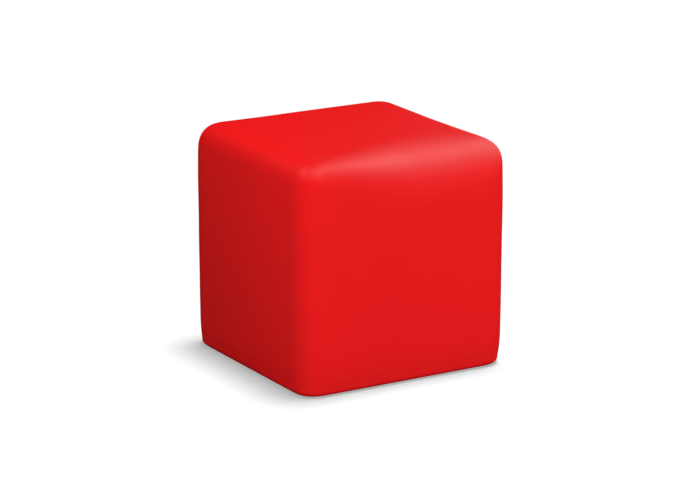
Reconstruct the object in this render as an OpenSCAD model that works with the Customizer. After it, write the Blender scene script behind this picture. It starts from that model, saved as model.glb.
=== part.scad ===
// Giant blank yard dice: one block of soft foam, sealed in a tough red skin.
// Millimetres, +Z up. The origin is on the ground, under the middle of the block.

/* [Overall size] */
// Width of the block, along X
block_w = 300; // [150:5:450]
// Depth of the block, along Y
block_d = 300; // [150:5:450]
// Height of the block, along Z
block_h = 300; // [150:5:450]

/* [Rounded edges] */
// Radius of the four upright edges
upright_r = 34; // [24:1:55]
// Radius of the four edges round the top face, up to that of the upright edges
top_r = 32; // [10:1:55]
// Radius of the four edges round the base
base_r = 8; // [4:0.5:14]

/* [Foot] */
// Height over which the walls draw in towards the base
foot_h = 46; // [30:1:70]
// How far the walls have drawn in where they reach the base
foot_tuck = 4; // [1:0.5:8]

/* [Skin] */
// Thickness of the skin on the top and the four walls
wall_t = 1.5; // [1:0.25:3]
// Thickness of the skin under the base
base_t = 2; // [1:0.25:3]
// Height of the base skin's rim above the rounded base edge
rim_h = 7; // [3:1:15]

/* [Breather holes] */
// Diameter of each breather hole in the base skin
vent_d = 2; // [1:0.5:4]
// Number of breather holes
vent_count = 8; // [1:1:12]
// Diameter of the circle that the breather holes stand on
vent_circle_d = 80; // [20:5:90]

/* [Hidden] */
$fn = 96;

// How far a cut runs past the surface that it goes through
cut_past = 1;
// Length of the flat stretch between two upright edges
straight_w = block_w - 2 * upright_r;
straight_d = block_d - 2 * upright_r;
// The top edges meet in a ball corner, which an upright edge has to be wide enough for
top_fillet_r = min(top_r, upright_r);
// One arc draws the wall in: upright at foot_h, and foot_tuck further in at the ground
foot_arc_r = (foot_h * foot_h + foot_tuck * foot_tuck) / (2 * foot_tuck);
foot_arc_centre = [upright_r - foot_arc_r, foot_h];
// Where the base skin stops and the body skin begins
join_z = base_r + rim_h;

// Section of a wall, from the axis of an upright edge at x = 0 out to its face.
// inset moves the face and the top inwards, and floor_z is the underside.
module wall_section(inset, floor_z) {
    face_x = upright_r - inset;
    roof_z = block_h - inset;
    top_r_here = top_fillet_r - inset;
    top_centre = [face_x - top_r_here, roof_z - top_r_here];
    arc_r = foot_arc_r - inset;
    // The base edge's arc touches the underside and the arc that draws the wall in
    base_r_here = base_r - inset;
    base_rise = floor_z + base_r_here - foot_h;
    base_run = sqrt(pow(arc_r - base_r_here, 2) - pow(base_rise, 2));
    base_centre = foot_arc_centre + [base_run, base_rise];
    touch = [base_run, base_rise] / norm([base_run, base_rise]);

    difference() {
        translate([0, floor_z])
            square([face_x, roof_z - floor_z]);
        // Rounds the top edge
        difference() {
            translate(top_centre)
                square(top_r_here + cut_past);
            translate(top_centre)
                circle(top_r_here);
        }
        // Draws the wall in at the foot
        difference() {
            translate([0, floor_z - cut_past])
                square([face_x + cut_past, foot_h - floor_z + cut_past]);
            translate(foot_arc_centre)
                circle(arc_r);
        }
        // Rounds the base edge
        difference() {
            translate(base_centre)
                polygon([
                    [0, 0],
                    [0, -base_r_here - cut_past],
                    [base_r_here + cut_past, -base_r_here - cut_past],
                    touch * (base_r_here + foot_tuck + cut_past)
                ]);
            translate(base_centre)
                circle(base_r_here);
        }
    }
}

// The whole block as one solid, with its walls and top moved inwards by inset
module soft_block(inset, floor_z) {
    translate([-straight_w / 2, -straight_d / 2, floor_z])
        cube([straight_w, straight_d, block_h - inset - floor_z]);
    for (side = [0:3]) {
        out = side % 2 == 0 ? straight_w / 2 : straight_d / 2;
        along = side % 2 == 0 ? straight_d : straight_w;
        rotate([0, 0, 90 * side]) {
            translate([out, 0, 0])
                rotate([90, 0, 0])
                    linear_extrude(height = along, center = true)
                        wall_section(inset, floor_z);
            translate([out, along / 2, 0])
                rotate_extrude(angle = 90)
                    wall_section(inset, floor_z);
        }
    }
}

// Closed skin round the foam, all one thickness but for its base
module skin() {
    difference() {
        soft_block(0, 0);
        soft_block(wall_t, base_t);
    }
}

// Everything between two heights, a little wider than the block
module layer(from_z, to_z) {
    width = block_w + 2 * cut_past;
    depth = block_d + 2 * cut_past;
    translate([-width / 2, -depth / 2, from_z])
        cube([width, depth, to_z - from_z]);
}

// Block of soft open-cell foam that fills the skin
module foam_core() {
    color("khaki")
        soft_block(wall_t, base_t);
}

// Seamless skin over the top and the four walls
module body_skin() {
    color("#dc1a1a")
        intersection() {
            skin();
            layer(join_z, block_h + cut_past);
        }
}

// Skin under the base, with a low rim that meets the body skin edge to edge
module base_skin() {
    color("#b81414")
        difference() {
            intersection() {
                skin();
                layer(-cut_past, join_z);
            }
            for (hole = [0:vent_count - 1])
                rotate([0, 0, 360 * hole / vent_count])
                    translate([vent_circle_d / 2, 0, -cut_past])
                        cylinder(h = base_t + 2 * cut_past, d = vent_d);
        }
}

foam_core();
body_skin();
base_skin();
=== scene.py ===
import math

import bpy
import numpy as np
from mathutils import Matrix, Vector, noise


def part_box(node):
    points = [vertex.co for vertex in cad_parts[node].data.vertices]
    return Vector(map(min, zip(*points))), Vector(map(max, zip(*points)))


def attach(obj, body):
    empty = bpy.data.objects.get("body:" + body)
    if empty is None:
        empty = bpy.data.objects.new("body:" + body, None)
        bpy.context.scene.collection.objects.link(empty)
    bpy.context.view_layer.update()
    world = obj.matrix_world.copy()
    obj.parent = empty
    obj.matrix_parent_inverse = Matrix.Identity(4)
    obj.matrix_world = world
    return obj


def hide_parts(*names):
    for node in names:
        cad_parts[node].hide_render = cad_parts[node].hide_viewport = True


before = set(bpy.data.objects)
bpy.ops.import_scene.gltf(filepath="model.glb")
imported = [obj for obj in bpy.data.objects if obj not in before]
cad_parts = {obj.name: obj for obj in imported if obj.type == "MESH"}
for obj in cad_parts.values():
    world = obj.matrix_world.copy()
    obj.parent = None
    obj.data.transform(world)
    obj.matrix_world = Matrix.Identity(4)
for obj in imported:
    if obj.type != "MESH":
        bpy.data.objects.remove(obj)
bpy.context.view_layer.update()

# Foam core. One block of soft open-cell polyurethane foam, cut to a cube with rounded edges.
# It has settled under its own weight: the top edges sag between their corners, and the walls
# swell at mid height and draw in at the foot. It is buff, like raw foam.
MM = 0.001
skin_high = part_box("body_skin")[1]
half_side = skin_high.x
full_height = skin_high.z
join_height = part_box("base_skin")[1].z

edge_reach = 39.7 * MM       # from the start of a rounded edge to the face beside it
edge_fullness = 2.83         # 2 is a round edge, and more is squarer
settled_depth = 0.985        # the block's depth and height, as shares of the cube's
settled_height = 0.993
foot_height = 44.4 * MM      # the walls draw in below this
foot_tuck = 4.24 * MM
base_edge = 8.9 * MM         # radius of the edge on the ground
base_edge_fullness = 2.2
skin_thickness = 1.5 * MM
base_thickness = 2.0 * MM
groove_depth = 0.1 * MM      # where the two skins meet
groove_reach = 1.4 * MM

wall_swell = 0.9 * MM        # how far the walls stand out at mid height
narrowing_up = 0.8 * MM      # how much closer the walls are at the top than at the ground
shoulder_rise = 1.5 * MM     # how far the upright edges stand out near the top
shoulder_height = 0.55       # where they do, from -1 at the ground to 1 at the top
right_sag = 2.5 * MM         # how far the right and front top edges sag in their middle
front_sag = 0.5 * MM
front_reach_more = 36 * MM   # how much wider and rounder the front top edge's bend is
front_fullness_less = 0.65
foot_spread = 3.8 * MM       # how far the foot has spread to the left
corner_rises = {             # how far each top corner stands up, by its side along X and Y
    (1, 1): 0.84 * MM,
    (-1, 1): 0.3 * MM,
    (1, -1): 0.2 * MM,
    (-1, -1): 0.3 * MM,
}

edge_steps = 12
face_steps = 30
wall_steps = 26
foot_wall_steps = 5
base_edge_steps = 7


def rounded_line(steps_low, steps_flat, steps_high):
    """Places across a face: how far into a rounded edge each is (-1 to 1), and how far along."""
    low = [-math.tan(math.pi / 4 * (1 - n / steps_low)) for n in range(steps_low)]
    high = [math.tan(math.pi / 4 * (n + 1) / steps_high) for n in range(steps_high)]
    into_edge = low + [0.0] * (steps_flat + 1) + high
    along = [-1.0] * steps_low + list(np.linspace(-1, 1, steps_flat + 1)) + [1.0] * steps_high
    return np.array(into_edge), np.array(along)


def foot_profile():
    """Height and reach of each row of the foot, from the flat underside up to the plain wall."""
    def drawn_in(height):
        return foot_tuck * ((foot_height - height) / foot_height) ** 2

    flat_reach = edge_reach - drawn_in(base_edge) - base_edge
    rows = []
    for step in range(base_edge_steps):
        turn = math.pi / 2 * (1 - step / base_edge_steps)
        drop = base_edge * math.sin(turn) ** (2 / base_edge_fullness)
        out = base_edge * math.cos(turn) ** (2 / base_edge_fullness)
        rows.append((base_edge - drop, flat_reach + out))
    join = join_height / settled_height
    wall = [base_edge, join - 2.4 * groove_reach, join - groove_reach, join]
    wall += [join + groove_reach, join + 2.4 * groove_reach]
    wall += list(np.linspace(join + 2.4 * groove_reach, foot_height, foot_wall_steps + 1)[1:])
    rows += [(height, edge_reach - drawn_in(height)) for height in wall]
    join_row = base_edge_steps + 3
    return np.array(rows), join_row


foot_rows, join_row = foot_profile()
foot_count = len(foot_rows) - 1
row_count = foot_count + wall_steps + edge_steps
line_count = 2 * edge_steps + face_steps


def shell_grid(counts):
    """Every place on the outside of a box of cells, and the quads that join them."""
    number = {}
    quads = []
    for axis in range(3):
        across = (axis + 1) % 3
        up = (axis + 2) % 3
        for side in (0, counts[axis]):
            for a in range(counts[across]):
                for b in range(counts[up]):
                    quad = []
                    for step_a, step_b in ((0, 0), (1, 0), (1, 1), (0, 1)):
                        place = [0, 0, 0]
                        place[axis] = side
                        place[across] = a + step_a
                        place[up] = b + step_b
                        quad.append(number.setdefault(tuple(place), len(number)))
                    quads.append(quad if side else quad[::-1])
    return np.array(list(number)), np.array(quads)


def cut_block(places):
    """The block as it was cut: flat faces, four upright edges, four top edges and the foot."""
    into_edge, along = rounded_line(edge_steps, face_steps, edge_steps)
    edge_x, edge_y = into_edge[places[:, 0]], into_edge[places[:, 1]]
    row = places[:, 2]
    m = edge_fullness
    plan = (abs(edge_x) ** m + abs(edge_y) ** m) ** (1 / m)

    top_turn = np.clip(row - foot_count - wall_steps, 0, None) / edge_steps
    lift = np.tan(math.pi / 4 * top_turn)
    whole = np.maximum((plan ** m + lift ** m) ** (1 / m), 1e-9)
    reach = edge_reach * plan / whole
    top_start = full_height - edge_reach
    wall_share = np.clip(row - foot_count, 0, wall_steps) / wall_steps
    wall_bottom = foot_rows[-1][0]
    height = wall_bottom + (top_start - wall_bottom) * wall_share + edge_reach * lift / whole

    in_foot = row < foot_count
    foot_row = np.clip(row, 0, foot_count)
    height = np.where(in_foot, foot_rows[foot_row, 0], height)
    under = np.maximum(abs(edge_x), abs(edge_y))
    reach = np.where(in_foot, foot_rows[foot_row, 1] * np.where(row == 0, under, 1), reach)

    plan = np.maximum(plan, 1e-9)
    start = half_side - edge_reach
    return np.stack([
        along[places[:, 0]] * start + reach * edge_x / plan,
        along[places[:, 1]] * start + reach * edge_y / plan,
        height,
    ], axis=1)


def smooth_step(share):
    """0 below 0, 1 above 1, and an even S between."""
    share = np.clip(share, 0, 1)
    return share * share * (3 - 2 * share)


def front_top_ease(points):
    """How far the front top edge has moved in. It is the one that is gripped and sat on, so it
    has eased to a wider and rounder bend than the others, and most towards the right."""
    across = points[:, 0] / half_side
    share = smooth_step((across + 0.95) / 1.2) * (1 - 0.15 * smooth_step((across - 0.4) / 0.6))
    reach = edge_reach + front_reach_more * share
    fullness = edge_fullness - front_fullness_less * share
    below_top = full_height - points[:, 2]
    behind_front = points[:, 1] + half_side
    # The pull that brings each point onto the wider bend, found by halving a range of pulls
    longest_pull = 40 * MM
    halvings = 26
    least = np.zeros(len(points))
    most = np.full(len(points), longest_pull)
    for _ in range(halvings):
        pull = (least + most) / 2
        left_z = np.clip(1 - (below_top + pull) / reach, 0, None)
        left_y = np.clip(1 - (behind_front + pull) / reach, 0, None)
        outside = left_z ** fullness + left_y ** fullness > 1
        least = np.where(outside, pull, least)
        most = np.where(outside, most, pull)
    pull = np.where(least > 1e-6, least, 0)
    return np.stack([np.zeros(len(points)), pull, -pull], axis=1)


def settled(points):
    """The same block after its weight and a season of use have settled it."""
    out = points.copy()
    across = points[:, 0] / half_side
    deep = points[:, 1] / half_side
    up = points[:, 2] / full_height * 2 - 1
    # The walls swell at mid height, and the block narrows slightly towards its top
    swell = wall_swell * np.cos(math.pi / 2 * np.clip(up, -1, 1))
    narrowing = 1.0015 - narrowing_up / half_side * up / 2
    out[:, 0] = (out[:, 0] + across ** 5 * abs(across) * swell) * narrowing
    out[:, 1] = (out[:, 1] + deep ** 5 * abs(deep) * swell) * narrowing
    # The upright edges stand out most a little below the top
    shoulder = np.exp(-((up - shoulder_height) / 0.35) ** 2) * abs(across * deep) ** 5
    shoulder *= shoulder_rise
    out[:, 0] += shoulder * np.sign(across)
    out[:, 1] += shoulder * np.sign(deep)
    # The top edges sag between the corners, and the right one most
    near_top = np.clip((up + 0.2) / 1.2, 0, 1) ** 3
    middle_x = np.clip(1 - across ** 2, 0, 1)
    middle_y = np.clip(1 - deep ** 2, 0, 1)
    sag = right_sag * np.clip(across, 0, 1) ** 4 * middle_y * (1 - 0.45 * deep)
    sag += front_sag * np.clip(-deep, 0, 1) ** 4 * middle_x
    out[:, 2] -= near_top * sag
    out += front_top_ease(points)
    # The top corners stay proud
    for (side_x, side_y), rise in corner_rises.items():
        corner = np.clip(across * side_x, 0, 1) ** 3 * np.clip(deep * side_y, 0, 1) ** 3
        out[:, 2] += rise * corner * near_top
    # The foot has spread on the left, up to its back corner
    low = np.clip(1 - points[:, 2] / foot_height, 0, 1) ** 1.5
    spread = np.clip(-across, 0, 1) ** 6 * (1 - np.clip(deep, 0, 1) ** 8)
    out[:, 0] -= foot_spread * low * spread
    out[:, 1] *= settled_depth
    out[:, 2] *= settled_height
    return out


def outward(points, quads):
    """The direction straight out of the surface at each point."""
    corner = points[quads]
    facing = np.cross(corner[:, 2] - corner[:, 0], corner[:, 3] - corner[:, 1])
    total = np.zeros_like(points)
    for n in range(4):
        np.add.at(total, quads[:, n], facing)
    return total / np.maximum(np.linalg.norm(total, axis=1, keepdims=True), 1e-12)


def hand_made(points, quads):
    """Low swells and hollows, a few tenths of a millimetre, that no mould would leave."""
    waves = ((11.0, 0.45 * MM), (24.0, 0.16 * MM))
    rise = np.array([
        sum(height * noise.noise(Vector(p * per_metre)) for per_metre, height in waves)
        for p in points
    ])
    # The base lies flat, so the swells fade out just above the ground
    fade_height = 12 * MM
    off_ground = np.clip(points[:, 2] / fade_height, 0, 1)
    return points + outward(points, quads) * (rise * off_ground)[:, None]


places, quads = shell_grid((line_count, line_count, row_count))
skin_face = hand_made(settled(cut_block(places)), quads)
skin_out = outward(skin_face, quads)
thickness = skin_thickness + (base_thickness - skin_thickness) * np.clip(-skin_out[:, 2], 0, 1)
skin_back = skin_face - skin_out * thickness[:, None]
foam_gap = 0.05 * MM
foam_face = skin_face - skin_out * (thickness + foam_gap)[:, None]


def new_piece(name, points, faces):
    """A piece with these points and faces, smooth all over."""
    mesh = bpy.data.meshes.new(name)
    mesh.from_pydata([tuple(p) for p in points], [], [tuple(int(n) for n in f) for f in faces])
    mesh.validate()
    mesh.shade_smooth()
    piece = bpy.data.objects.new(name, mesh)
    bpy.context.scene.collection.objects.link(piece)
    return piece


foam_piece = new_piece("foam_block", foam_face, quads)


class Wire:
    """An output of a material's node, which adds Math nodes when it is reckoned with."""

    def __init__(self, tree, socket=None):
        self.tree = tree
        self.socket = socket

    def node(self, kind, settings, values, output=0):
        """A new node: its settings first, then its sockets' numbers, colours or wires."""
        made = self.tree.nodes.new(kind)
        for setting, value in settings.items():
            setattr(made, setting, value)
        for socket, value in values.items():
            if isinstance(value, Wire):
                self.tree.links.new(value.socket, made.inputs[socket])
            else:
                made.inputs[socket].default_value = value
        return Wire(self.tree, made.outputs[output] if made.outputs else None)

    def reckon(self, operation, first, second, clamp=False):
        """One step of arithmetic on two values, as a Math node."""
        settings = {"operation": operation, "use_clamp": clamp}
        return self.node("ShaderNodeMath", settings, {0: first, 1: second})

    def __add__(self, other):
        return self.reckon("ADD", self, other)

    def __sub__(self, other):
        return self.reckon("SUBTRACT", self, other)

    def __rsub__(self, other):
        return self.reckon("SUBTRACT", other, self)

    def __mul__(self, other):
        return self.reckon("MULTIPLY", self, other)

    def __pow__(self, other):
        return self.reckon("POWER", self, other)

    def __abs__(self):
        return self.reckon("ABSOLUTE", self, 0)

    __radd__ = __add__
    __rmul__ = __mul__

    def held(self):
        """The same value, kept between 0 and 1."""
        return self.reckon("ADD", self, 0, clamp=True)

    def blend(self, first, second):
        """A colour that goes from first to second as this value goes from 0 to 1."""
        values = {0: self, 6: first, 7: second}
        return self.node("ShaderNodeMix", {"data_type": "RGBA"}, values, output=2)

    def grain(self, place, per_metre, detail=2.0, roughness=0.5):
        """Soft noise from 0 to 1, with about this many lumps to the metre."""
        values = {"Vector": place, "Scale": per_metre, "Detail": detail, "Roughness": roughness}
        return self.node("ShaderNodeTexNoise", {}, values)

    def bump(self, height, strength, distance, under=None):
        """Fine relief for Normal, from a height. under is a coarser relief to lie on."""
        values = {"Height": height, "Strength": strength, "Distance": distance}
        if under:
            values["Normal"] = under
        return self.node("ShaderNodeBump", {}, values)


def new_material(name):
    """An empty material, the wire that starts its nodes, and its place wire in metres."""
    material = bpy.data.materials.new(name)
    material.use_nodes = True
    material.node_tree.nodes.clear()
    start = Wire(material.node_tree)
    place = start.node("ShaderNodeTexCoord", {}, {}, output="Object")
    return material, start, place


def finish_material(start, values):
    """The surface itself, from its sockets' values and wires."""
    surface = start.node("ShaderNodeBsdfPrincipled", {}, values)
    start.node("ShaderNodeOutputMaterial", {}, {"Surface": surface})


foam_material, start, place = new_material("open_cell_foam")
cells_per_metre = 900
cell = start.node("ShaderNodeTexVoronoi", {}, {"Vector": place, "Scale": cells_per_metre})
clump = start.grain(place, 60, detail=4)
foam_shade = (clump * 0.6 + cell * 0.5).held()
finish_material(start, {
    "Base Color": foam_shade.blend((0.62, 0.52, 0.33, 1), (0.86, 0.79, 0.58, 1)),
    "Roughness": clump * 0.1 + 0.85,
    "Specular IOR Level": 0.2,
    "Normal": start.bump(cell, 0.8, 0.5 * MM),
})
foam_piece.data.materials.append(foam_material)
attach(foam_piece, "root")
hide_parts("foam_core")

# Body skin. A seamless coat of red polyurethane over the top and the four walls, sprayed on in
# layers to 1.5 mm and bonded to the foam. It has a satin finish, faint orange peel from the
# spray, and a plain rim low on the walls, where it meets the coat of the base edge to edge.


def skin_shell(name, kept, rim_lift):
    """A closed shell of the skin over the rows that are kept, with its rim at the join."""
    rows = places[:, 2]
    mine = quads[kept(rows[quads]).all(axis=1)]
    used = np.unique(mine)
    index = np.full(len(places), -1)
    index[used] = np.arange(len(used))
    at_join = rows == join_row
    face = skin_face.copy()
    face[at_join] -= skin_out[at_join] * groove_depth
    back = skin_back.copy()
    for surface in (face, back):
        surface[at_join, 2] = join_height + rim_lift
    outer = index[mine]
    inner = outer[:, ::-1] + len(used)
    edges = {}
    for quad in outer:
        for a, b in zip(quad, np.roll(quad, -1)):
            edges[(a, b)] = True
    rim = [
        (b, a, a + len(used), b + len(used))
        for a, b in edges
        if (b, a) not in edges
    ]
    points = np.concatenate([face[used], back[used]])
    return new_piece(name, points, [*outer, *inner, *rim])


rim_gap = 0.02 * MM
sharp_angle = math.radians(50)
body_piece = skin_shell("body_skin_coat", lambda row: row >= join_row, rim_gap)
body_piece.data.set_sharp_from_angle(angle=sharp_angle)

skin_red = (0.755, 0.0052, 0.0060, 1)
skin_red_deep = (0.700, 0.0046, 0.0054, 1)
skin_red_rubbed = (0.775, 0.0105, 0.0110, 1)
satin = 0.44                 # the coat's roughness where it is cleanest


def coat_material(name, scuffing):
    """Satin polyurethane coat. scuffing is how worn the rubbed edges and the foot are."""
    material, start, place = new_material(name)
    # Sprayed coats are never quite even: broad clouds of a slightly deeper red
    cloud = start.grain(place, 7, detail=3, roughness=0.6)
    fleck = start.grain(place, 420, detail=3, roughness=0.6)
    even = cloud.blend(skin_red_deep, skin_red)
    # Edges and corners rub first. Two of the three distances from the middle are large there
    parts = start.node("ShaderNodeSeparateXYZ", {}, {"Vector": place})
    side = {axis: Wire(parts.tree, parts.socket.node.outputs[axis]) for axis in "XYZ"}
    wide = abs(side["X"]) * (1 / half_side)
    deep = abs(side["Y"]) * (1 / half_side)
    tall = abs(side["Z"] * (2 / full_height) - 1)
    power = 14               # the higher, the narrower the rubbed line along an edge
    edge = (wide ** power) * (deep ** power)
    edge = edge + (deep ** power) * (tall ** power) + (tall ** power) * (wide ** power)
    patchy = start.grain(place, 55, detail=5, roughness=0.65)
    rubbed = (edge * 1.6 * (patchy * 1.8 - 0.4).held() * scuffing).held()
    colour = rubbed.blend(even, skin_red_rubbed)
    # Orange peel of the spray, and finer grain under it
    peel = start.grain(place, 260, detail=2, roughness=0.5)
    relief = start.bump(peel, 0.5, 0.04 * MM)
    relief = start.bump(fleck, 0.4, 0.012 * MM, under=relief)
    smear = start.grain(place, 18, detail=4, roughness=0.6)
    finish_material(start, {
        "Base Color": colour,
        "Roughness": smear * 0.08 + fleck * 0.03 + rubbed * 0.14 + satin,
        "Specular IOR Level": 0.5,
        "Normal": relief,
    })
    return material


body_piece.data.materials.append(coat_material("satin_red_coat", scuffing=0.5))
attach(body_piece, "root")
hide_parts("body_skin")

# Base skin. The same coat over the underside and up round the ground edge, sprayed with the
# block turned over, 2 mm thick because it drags on the ground. Its low rim meets the body skin,
# and a ring of eight small holes lets the foam breathe when it is squeezed.
base_piece = skin_shell("base_skin_coat", lambda row: row <= join_row, -rim_gap)
breather_count = 8
breather_circle = 40 * MM
breather_radius = 1.0 * MM
breather_lip = 0.4 * MM


def breather_cutter():
    """Eight short plugs with a flared foot, to cut the breather holes and their eased lips."""
    cut_past = 1.0 * MM
    above_skin = 0.02 * MM
    rings = (
        (-cut_past, breather_radius + breather_lip + cut_past),
        (breather_lip, breather_radius),
        (base_thickness + above_skin, breather_radius),
    )
    sides = 24
    turned = 0.3             # of one side, so that no corner falls on a line of the base's mesh
    points = []
    faces = []
    for hole in range(breather_count):
        turn = math.tau * hole / breather_count
        middle = (breather_circle * math.cos(turn), breather_circle * math.sin(turn))
        first = len(points)
        for height, radius in rings:
            for side in range(sides):
                angle = math.tau * (side + turned) / sides
                points.append((
                    middle[0] + radius * math.cos(angle),
                    middle[1] + radius * math.sin(angle),
                    height,
                ))
        faces.append([first + side for side in reversed(range(sides))])
        faces.append([first + 2 * sides + side for side in range(sides)])
        for ring in range(len(rings) - 1):
            for side in range(sides):
                a = first + ring * sides + side
                b = first + ring * sides + (side + 1) % sides
                faces.append([a, b, b + sides, a + sides])
    return new_piece("breather_cutter", points, faces)


cutter = breather_cutter()
drill = base_piece.modifiers.new("breather_holes", "BOOLEAN")
drill.operation = "DIFFERENCE"
drill.object = cutter
drill.solver = "EXACT"
bpy.context.view_layer.update()
drilled = bpy.data.meshes.new_from_object(base_piece.evaluated_get(
    bpy.context.evaluated_depsgraph_get()))
base_piece.modifiers.remove(drill)
base_piece.data = drilled
drilled.shade_smooth()
drilled.set_sharp_from_angle(angle=sharp_angle)
bpy.data.objects.remove(cutter)

base_piece.data.materials.append(coat_material("satin_red_base_coat", scuffing=1.0))
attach(base_piece, "root")
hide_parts("base_skin")

# Floor. A plain white sweep of studio paper that the block stands on, much wider than any view
# of it. It glows a little, so that it is pure white but for the block's own shadow, and it
# sends little light back, so that the block keeps the light of its softboxes.
floor_half = 14.0
floor_paper = (0.9, 0.9, 0.9, 1)
floor_glow = 0.42
floor_sent_back = (0.3, 0.3, 0.3, 1)
white = (1, 1, 1, 1)
floor_mesh = bpy.data.meshes.new("floor")
floor_mesh.from_pydata(
    [(-floor_half, -floor_half, 0), (floor_half, -floor_half, 0),
     (floor_half, floor_half, 0), (-floor_half, floor_half, 0)], [], [(0, 1, 2, 3)])
floor = bpy.data.objects.new("floor", floor_mesh)
bpy.context.scene.collection.objects.link(floor)
floor_material, start, place = new_material("white_floor")
matte = start.node("ShaderNodeBsdfDiffuse", {}, {"Color": floor_paper})
glow = start.node("ShaderNodeEmission", {}, {"Color": white, "Strength": floor_glow})
seen = start.node("ShaderNodeAddShader", {}, {0: matte, 1: glow})
bounced = start.node("ShaderNodeBsdfDiffuse", {}, {"Color": floor_sent_back})
by_camera = start.node("ShaderNodeLightPath", {}, {}, output="Is Camera Ray")
surface = start.node("ShaderNodeMixShader", {}, {0: by_camera, 1: bounced, 2: seen})
start.node("ShaderNodeOutputMaterial", {}, {"Surface": surface})
floor_mesh.materials.append(floor_material)
floor.visible_glossy = False

# The red of the block is kept off the white floor, so that its shadow stays grey
for piece in (foam_piece, body_piece, base_piece):
    piece.visible_diffuse = False

# Studio. Softboxes on stands all round the block, in a room that is dark but for its white
# backdrop. Some give only the sheen and some only the fill, so that each is set by itself, and
# a wide ceiling light over the floor throws the block's shadow.
room = bpy.data.worlds.new("white_room")
bpy.context.scene.world = room
room.use_nodes = True
room.node_tree.nodes.clear()
room.cycles.sampling_method = "NONE"
start = Wire(room.node_tree)
by_camera = start.node("ShaderNodeLightPath", {}, {}, output="Is Camera Ray")
sky = start.node("ShaderNodeBackground", {}, {"Color": white, "Strength": by_camera})
start.node("ShaderNodeOutputWorld", {}, {"Surface": sky})

block_middle = Vector((0, 0, full_height / 2))

# Every softbox lights the block alone, because the floor has light of its own
block_alone = bpy.data.collections.new("block_alone")
floor_alone = bpy.data.collections.new("floor_alone")
for piece in (foam_piece, body_piece, base_piece):
    block_alone.objects.link(piece)
floor_alone.objects.link(floor)


def hang_light(name, light, azimuth, elevation, distance, lit, diffuse=True, gloss=True):
    """A light that faces the block from this side and height, and lights only these things."""
    turn = math.radians(azimuth)
    tilt = math.radians(elevation)
    towards = Vector((
        math.sin(turn) * math.cos(tilt), -math.cos(turn) * math.cos(tilt), math.sin(tilt)))
    lamp = bpy.data.objects.new(name, light)
    bpy.context.scene.collection.objects.link(lamp)
    lamp.location = block_middle + towards * distance
    lamp.rotation_mode = "QUATERNION"
    lamp.rotation_quaternion = towards.to_track_quat("Z", "Y")
    lamp.visible_diffuse = diffuse
    lamp.visible_glossy = gloss
    lamp.light_linking.receiver_collection = lit
    light.cycles.use_multiple_importance_sampling = False


def soft_box(name, azimuth, elevation, distance, width, height, brightness, **kind):
    """A softbox, in degrees and metres. brightness is what a mirror would see in it."""
    light = bpy.data.lights.new(name, "AREA")
    light.shape = "RECTANGLE"
    light.size = width
    light.size_y = height
    light.energy = brightness * width * height * math.pi
    hang_light(name, light, azimuth, elevation, distance, block_alone, **kind)


def broad_light(name, azimuth, elevation, spread, power, lit, **kind):
    """Light from so far off that it is even everywhere, as from a wide ceiling."""
    light = bpy.data.lights.new(name, "SUN")
    light.angle = math.radians(spread)
    light.energy = power
    distance = 3.0
    hang_light(name, light, azimuth, elevation, distance, lit, **kind)


# Sheen: softboxes without fill. The key one's reflection runs along the front top edge
soft_box("key_softbox", 78, 50, 0.7, 0.3, 0.3, 4.6, diffuse=False)
soft_box("high_front_softbox", 0, 60, 1.2, 0.8, 0.8, 2.8, diffuse=False)
soft_box("low_front_softbox", 30, 20, 1.2, 0.8, 0.8, 0.2, diffuse=False)
soft_box("rear_softbox", 115, 40, 1.0, 0.5, 0.5, 0.7, diffuse=False)
soft_box("left_rim_softbox", -100, 50, 1.0, 0.4, 0.4, 3.2, diffuse=False)

# Fill: softboxes without sheen, which light the faces evenly from every side
soft_box("fill_low_front", 25, -10, 1.0, 0.5, 0.5, 8.8, gloss=False)
soft_box("fill_right", 60, 20, 1.0, 0.5, 0.5, 4.8, gloss=False)
soft_box("fill_front", -10, 0, 1.0, 0.5, 0.5, 2.9, gloss=False)
soft_box("fill_low_left", -50, 2, 1.0, 0.5, 0.5, 6.0, gloss=False)
soft_box("fill_high_left", -75, 55, 1.0, 0.5, 0.5, 5.4, gloss=False)
soft_box("fill_back", 155, 45, 2.0, 1.0, 1.0, 9.5, gloss=False)
soft_box("fill_top", 0, 88, 2.0, 1.0, 1.0, 3.3, gloss=False)
soft_box("fill_behind", -165, 10, 2.0, 1.0, 1.0, 3.5, gloss=False)
broad_light("floor_ceiling", 93, 84, 16, 2.15, floor_alone, gloss=False)

# Camera. A long lens on a tripod nearly four metres off, to the left of the front and a little
# above the block, and turned to it without any shift.
view_azimuth = math.radians(-30.94)
view_elevation = math.radians(15.38)
view_distance = 3.787
view_lens = 151.2
aim_right = 1.6 * MM
aim_down = 11.6 * MM

back = Vector((
    math.sin(view_azimuth) * math.cos(view_elevation),
    -math.cos(view_azimuth) * math.cos(view_elevation),
    math.sin(view_elevation)))
right = Vector((math.cos(view_azimuth), math.sin(view_azimuth), 0))
up = back.cross(right)
camera_data = bpy.data.cameras.new("camera")
camera_data.lens = view_lens
camera_data.sensor_width = 36
camera_data.clip_start = 0.1
camera_data.clip_end = 60    # past the far side of the floor
camera = bpy.data.objects.new("camera", camera_data)
bpy.context.scene.collection.objects.link(camera)
camera.location = block_middle + back * view_distance
aim = block_middle + right * aim_right - up * aim_down
camera.rotation_mode = "QUATERNION"
camera.rotation_quaternion = (camera.location - aim).to_track_quat("Z", "Y")
bpy.context.scene.camera = camera
bpy.context.scene.view_settings.view_transform = "Standard"
